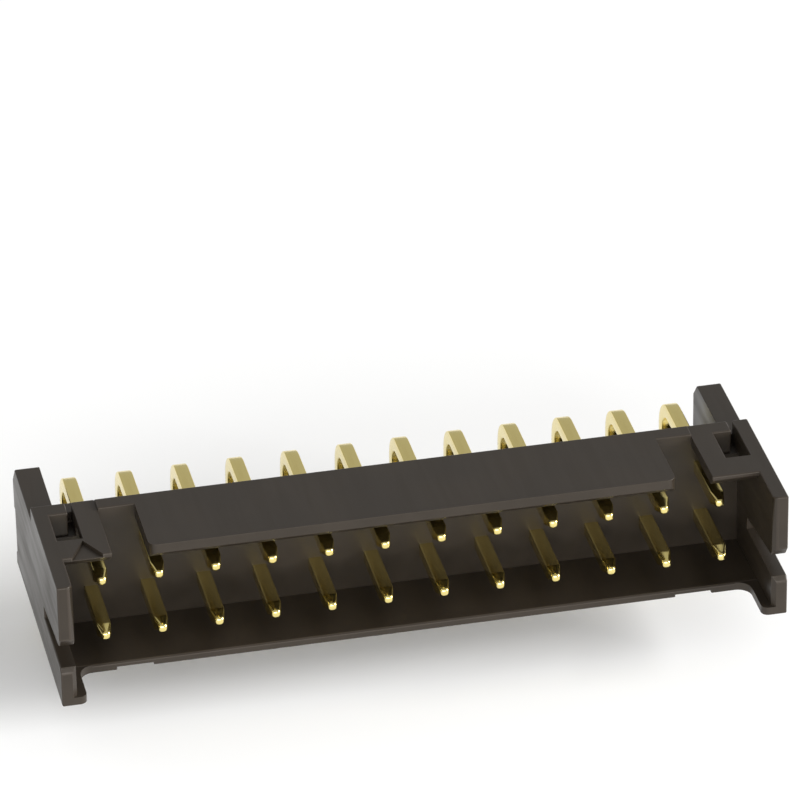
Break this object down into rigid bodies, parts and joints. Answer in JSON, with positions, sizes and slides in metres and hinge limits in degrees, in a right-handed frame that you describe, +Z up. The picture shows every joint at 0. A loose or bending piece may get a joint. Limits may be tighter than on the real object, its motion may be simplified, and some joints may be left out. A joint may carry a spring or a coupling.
{
  "type": "right-angle pin header",
  "caption": "Right-angle shrouded pin header: rows of square gold contacts bent down to solder tails, in one dark moulded housing with a keyed top wall and slotted end prongs.",
  "frame": {"origin": "on the board's top face, at the centre of the grid of solder tails", "axes": "+X along the rows of contacts, to the right seen from the mating side; -Y out of the mating mouth; +Z up from the board"},
  "size_m": [0.0258, 0.0098, 0.0072],
  "materials": {
    "housing_plastic": "satin moulded, warm near-black",
    "contact_gold": "bright gold plating"
  },
  "bodies": {
    "root": {"housing": "housing_plastic", "pin_upper_01": "contact_gold", "pin_upper_02": "contact_gold", "pin_upper_03": "contact_gold", "pin_upper_04": "contact_gold", "pin_upper_05": "contact_gold", "pin_upper_06": "contact_gold", "pin_upper_07": "contact_gold", "pin_upper_08": "contact_gold", "pin_upper_09": "contact_gold", "pin_upper_10": "contact_gold", "pin_upper_11": "contact_gold", "pin_upper_12": "contact_gold", "pin_lower_01": "contact_gold", "pin_lower_02": "contact_gold", "pin_lower_03": "contact_gold", "pin_lower_04": "contact_gold", "pin_lower_05": "contact_gold", "pin_lower_06": "contact_gold", "pin_lower_07": "contact_gold", "pin_lower_08": "contact_gold", "pin_lower_09": "contact_gold", "pin_lower_10": "contact_gold", "pin_lower_11": "contact_gold", "pin_lower_12": "contact_gold"}
  },
  "joints": []
}
